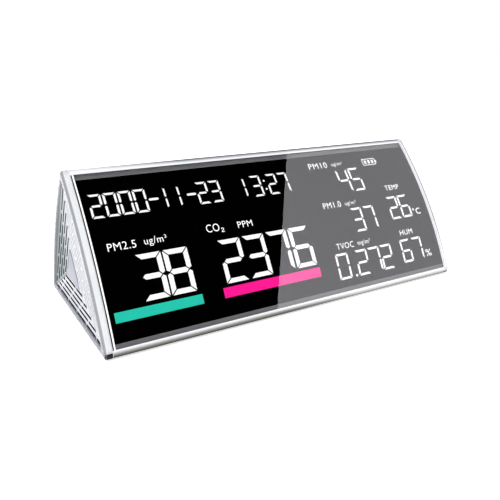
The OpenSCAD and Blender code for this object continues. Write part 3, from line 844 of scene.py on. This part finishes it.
def front_window():
    """The bowed clear window, with eased edges. It reaches into the film behind it, so that no air gap
    shows between them."""
    gap, end_gap, bonded = 0.05 * MM, 0.02 * MM, 0.15 * MM
    outline = front_layer(WINDOW_FROM + gap, ARC - WINDOW_TO - gap, 0, WINDOW + bonded)
    obj = bar_solid("window_lens", outline, BODY_LEFT + end_gap, BODY_RIGHT - end_gap, window_glass)
    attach(obj, "housing")
    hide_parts("display_window")


front_window()


# ---------- display ----------

# the layout below is in millimetres from the left end and down from the apex, moved by these
RIGHT_SHIFT, DOWN_SHIFT = 0.4, 0.7


def row(name, text, left, top, width, pitch, height, stroke):
    figures(name, text, left + RIGHT_SHIFT, top + DOWN_SHIFT, width, pitch, height, stroke, white_light)


def word(name, text, left, top, right, bottom, weight=-0.005):
    legend(
        name, text, left + RIGHT_SHIFT, top + DOWN_SHIFT, right + RIGHT_SHIFT, bottom + DOWN_SHIFT,
        label_light, weight,
    )


def strip(name, left, top, right, bottom, material):
    shape = box_shape(left + RIGHT_SHIFT, top + DOWN_SHIFT, right + RIGHT_SHIFT, bottom + DOWN_SHIFT)
    on_face(name, polygons([shape]), material)


def battery_symbol():
    """An outlined cell with three charge bars."""
    left, top, right, bottom, line = 154.6, 10.3, 163.4, 14.3, 0.4
    shapes = [
        box_shape(left, top, right, top + line), box_shape(left, bottom - line, right, bottom),
        box_shape(left, top, left + line, bottom), box_shape(right - line, top, right, bottom),
        box_shape(right, top + 1.2, right + 0.8, bottom - 1.2),
    ]
    for k in range(3):
        start = left + 1.3 + 2.4 * k
        shapes.append(box_shape(start, top + 1.0, start + 1.4, bottom - 1.0))
    moved = [[(x + RIGHT_SHIFT, s + DOWN_SHIFT) for x, s in shape] for shape in shapes]
    on_face("battery_symbol", polygons(moved), white_light)


# name, text, left, top, width of a figure, step to the next, height, stroke
row("date_figures", "2000-11-23", 7.25, 12.6, 5.6, 6.38, 11, 0.95)
row("time_figures", "13:27", 77.5, 12.6, 5.6, 6.4, 11, 0.95)
row("fine_dust_figures", "38", 20.0, 41.6, 11.2, 12.0, 19.6, 2.2)
row("gas_figures", "2376", 57.7, 41.6, 11.2, 12.4, 19.6, 2.0)
row("coarse_dust_figures", "45", 134.6, 14.8, 7.0, 8.0, 13.2, 1.1)
row("finest_dust_figures", "37", 134.6, 36.9, 7.0, 8.0, 12.6, 1.1)
row("vapour_figures", "0.272", 117.3, 58.5, 7.6, 8.1, 12.8, 1.1)
row("temperature_figures", "26", 160.0, 34.0, 6.9, 7.7, 12.6, 1.1)
row("humidity_figures", "67", 159.8, 58.0, 6.9, 7.9, 12.2, 1.1)

# name, text, left, top, right, bottom, weight
word("fine_dust_word", "PM2.5", 10.0, 35.0, 22.0, 38.4)
word("fine_dust_unit", "ug/m³", 25.6, 34.8, 35.6, 38.9)
word("gas_word", "CO₂", 54.5, 33.6, 63.0, 38.0)
word("gas_unit", "PPM", 70.2, 34.4, 77.8, 37.4)
word("coarse_dust_word", "PM10", 119.8, 9.6, 131.3, 13.0)
word("coarse_dust_unit", "ug/m³", 134.0, 10.4, 141.0, 13.0)
word("finest_dust_word", "PM1.0", 119.4, 32.0, 130.4, 35.2)
word("finest_dust_unit", "ug/m³", 132.8, 32.8, 140.0, 35.5)
word("vapour_word", "TVOC", 119.8, 53.5, 130.4, 56.5)
word("vapour_unit", "mg/m³", 133.0, 53.8, 141.0, 56.9)
word("temperature_word", "TEMP", 162.3, 27.5, 171.9, 30.3, 0.0)
word("temperature_unit", "°C", 175.4, 42.4, 180.9, 46.0, 0.002)
word("humidity_word", "HUM", 161.9, 53.0, 170.6, 55.8, 0.0)
word("humidity_unit", "%", 175.9, 65.7, 180.0, 69.5, -0.002)
battery_symbol()
strip("fine_dust_level", 6.6, 63.1, 45.0, 67.3, teal_light)
strip("gas_level", 55.1, 62.7, 106.9, 67.2, pink_light)


# ---------- inlays in the middle of the grilles ----------

def grille_inlay(name, outer_x, inward):
    """A thin lavender-grey plate on the plain triangle in the middle of a grille."""
    middle = Vector((0, FLOOR + 0.333 * HEIGHT))
    corners = [
        Vector((0, HEIGHT + FLOOR)), Vector((-DEPTH / 2, FLOOR)), Vector((DEPTH / 2, FLOOR)),
    ]
    share, blunt = 0.235, 0.7 * MM
    outline = []
    for k, corner in enumerate(corners):
        tip = middle + share * (corner - middle)
        for other in (corners[k - 1], corners[(k + 1) % 3]):
            outline.append(tip + blunt * (other - corner).normalized())
    rings = []
    for x, size in ((RECESS + 0.02 * MM, 1.0), (RECESS - 0.12 * MM, 1.0), (RECESS - 0.18 * MM, 0.97)):
        rings.append((outer_x + inward * x, [middle + size * (p - middle) for p in outline]))
    obj = loft(name, rings, inlay_grey)
    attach(obj, "housing")


grille_inlay("left_grille_inlay", LEFT, 1)
grille_inlay("right_grille_inlay", RIGHT, -1)

# ---------- seams round the window, and a painted shadow line along its top ---

SEAM = -0.02 * MM                        # just proud of the window
TOP_S = WINDOW_FROM / MM + 0.05          # the window's edges, in millimetres down from the apex
BOTTOM_S = (ARC - WINDOW_TO) / MM


def seam(name, left, top, right, bottom, material):
    on_face(name, polygons([box_shape(left, top, right, bottom)]), material, SEAM)


seam("left_seam", 3.5, TOP_S, 4.0, BOTTOM_S, black_seal_and_shadow_line)
seam("left_white_line", 4.0, TOP_S, 4.65, BOTTOM_S, seal_white)
seam("right_seam", 185.9, TOP_S, 186.1, BOTTOM_S, black_seal_and_shadow_line)
seam("right_white_line", 186.1, TOP_S, 186.5, BOTTOM_S, seal_white)
# a black strip along the window's top edge: painted shadow in the gap between the rail and the window
seam("top_painted_shadow_line", 4.65, TOP_S - 0.1, 185.9, TOP_S + 0.15, black_seal_and_shadow_line)


# ---------- light, floor and reflections ----------

def add_floor():
    """A wide pale sheet. It glows a little, except where it lies well under the object, as a painted
    shadow in the gap beneath the body.
    """
    mesh = bpy.data.meshes.new("floor")
    size = 20.0
    corners = [(-size, -size, 0), (size, -size, 0), (size, size, 0), (-size, size, 0)]
    mesh.from_pydata(corners, [], [(0, 1, 2, 3)])
    s = Shader("floor_paper")
    place = s.axes()
    inside_x = s.math("SUBTRACT", LENGTH / 2, s.math("ABSOLUTE", place["X"]))
    inside_y = s.math("SUBTRACT", DEPTH / 2, s.math("ABSOLUTE", place["Y"]))
    # painted shadow: the glow fades out under the object
    glow = s.between(s.math("MINIMUM", inside_x, inside_y), 3.5 * MM, 5.5 * MM, 0.6, 0.0)
    s.set(
        Base_Color=(0.93, 0.93, 0.93, 1), Roughness=0.9, Specular_IOR_Level=0.1,
        Emission_Color=(1, 1, 1, 1), Emission_Strength=glow,
    )
    mesh.materials.append(s.material)
    floor = bpy.data.objects.new("floor", mesh)
    scene.collection.objects.link(floor)


def add_light(name, place, target, size, power):
    data = bpy.data.lights.new(name, "AREA")
    data.shape = "RECTANGLE"
    data.size, data.size_y = size
    data.energy = power
    obj = bpy.data.objects.new(name, data)
    scene.collection.objects.link(obj)
    obj.location = place
    obj.rotation_euler = (Vector(target) - Vector(place)).to_track_quat("-Z", "Y").to_euler()
    obj.visible_glossy = False


def reflected(x, s):
    """The point x, s of the front face, and the way that the camera's view of it is reflected."""
    p = front_point(x, s)
    n = front_normal(s)
    d = (p - camera.location).normalized()
    return p, d - 2 * d.dot(n) * n


CARD_DISTANCE = 1.2                      # metres from the middle of the front face
CARD_LIGHT = 3.76                        # strength of the soft card at its plane's centre
CARD_FALL = (-0.57, 0.1)                 # share of it gained per metre to the right and upwards
CARD_MARGIN = 0.05                       # metres that the cards reach past what the front reflects
EDGE_STEPS = 16                          # pieces that the cards' shared edge is drawn in


def card_plane():
    """The plane that the reflection cards stand in: centre, right, up and the way it is looked at."""
    p, facing = reflected(LENGTH / 2, ARC / 2)
    centre = p + CARD_DISTANCE * facing
    right = Vector((0, 0, 1)).cross(facing).normalized()
    return centre, right, facing.cross(right).normalized(), facing


def card_hit(x, s):
    """(right, up) coordinates, in the card plane, of what the point x, s reflects."""
    centre, right, up, facing = card_plane()
    p, r = reflected(x, s)
    hit = p + r * ((centre - p).dot(facing) / r.dot(facing))
    return (hit - centre).dot(right), (hit - centre).dot(up)


def reflection_card(name, corners, color, strength):
    """A flat card that only reflections see, its light changing evenly across it."""
    centre, right, up = card_plane()[:3]
    mesh = bpy.data.meshes.new(name)
    points = [centre + a * right + b * up for a, b in corners]
    mesh.from_pydata(points, [], [tuple(range(len(points)))])
    s = Shader(name)
    slope = (right * CARD_FALL[0] + up * CARD_FALL[1]) * strength
    along = s.node("ShaderNodeVectorMath", Vector=s.place)
    along.operation = "DOT_PRODUCT"
    along.inputs[1].default_value = slope
    level = s.math("ADD", along.outputs["Value"], strength - slope.dot(centre))
    s.set(
        Base_Color=(0, 0, 0, 1), Specular_IOR_Level=0.0, Roughness=1.0,
        Emission_Color=(*color, 1), Emission_Strength=level,
    )
    # found by reflected rays, and never sampled as a lamp
    s.material.cycles.emission_sampling = "NONE"
    mesh.materials.append(s.material)
    card = bpy.data.objects.new(name, mesh)
    scene.collection.objects.link(card)
    for ray in ("camera", "diffuse", "transmission", "volume_scatter", "shadow"):
        setattr(card, "visible_" + ray, False)


def add_reflections():
    """A dark flag and a soft white card. Their shared edge is seen in the window as a straight slanted
    line, which runs between these two points of the front face."""
    top, bottom = front_point(110 * MM, 4 * MM), front_point(79 * MM, ARC - 4 * MM)
    eye = camera.location
    across = (top - eye).cross(bottom - eye)
    edge = []
    for k in range(EDGE_STEPS + 1):
        s = ARC * (k / EDGE_STEPS * 1.2 - 0.1)
        p = front_point(0, s)
        # where the plane through the eye and both points crosses the face
        x = (eye - p).dot(across) / across.x
        edge.append(card_hit(x, s))
    wide = (-20 * MM, LENGTH + 20 * MM)
    far = [card_hit(x, s) for x in wide for s in (-0.1 * ARC, 1.1 * ARC)]
    left, right = min(a for a, b in far) - CARD_MARGIN, max(a for a, b in far) + CARD_MARGIN
    low, high = min(b for a, b in far) - CARD_MARGIN, max(b for a, b in far) + CARD_MARGIN
    if edge[0][1] < edge[-1][1]:
        edge.reverse()
    edge = [(edge[0][0], high)] + edge + [(edge[-1][0], low)]
    reflection_card("dark_flag", edge + [(left, low), (left, high)], (0, 0, 0), 0.0)
    reflection_card("soft_card", edge + [(right, low), (right, high)], (0.99, 0.98, 1.03), CARD_LIGHT)


add_floor()
add_light("key_light", (-0.6, -0.9, 1.3), (0, 0, 0.03), (1.2, 1.2), 9)
add_light("fill_light", (0.9, 0.3, 1.2), (0, 0, 0.03), (1.0, 1.0), 5)
add_reflections()

world = bpy.data.worlds.new("studio")
scene.world = world
world.use_nodes = True
world.node_tree.nodes["Background"].inputs["Color"].default_value = (1, 1, 1, 1)
world.node_tree.nodes["Background"].inputs["Strength"].default_value = 1.0
scene.view_settings.view_transform = "Standard"
scene.view_settings.look = "None"
scene.cycles.max_bounces = 16
scene.cycles.transmission_bounces = 12
scene.cycles.transparent_max_bounces = 12
scene.cycles.caustics_refractive = True
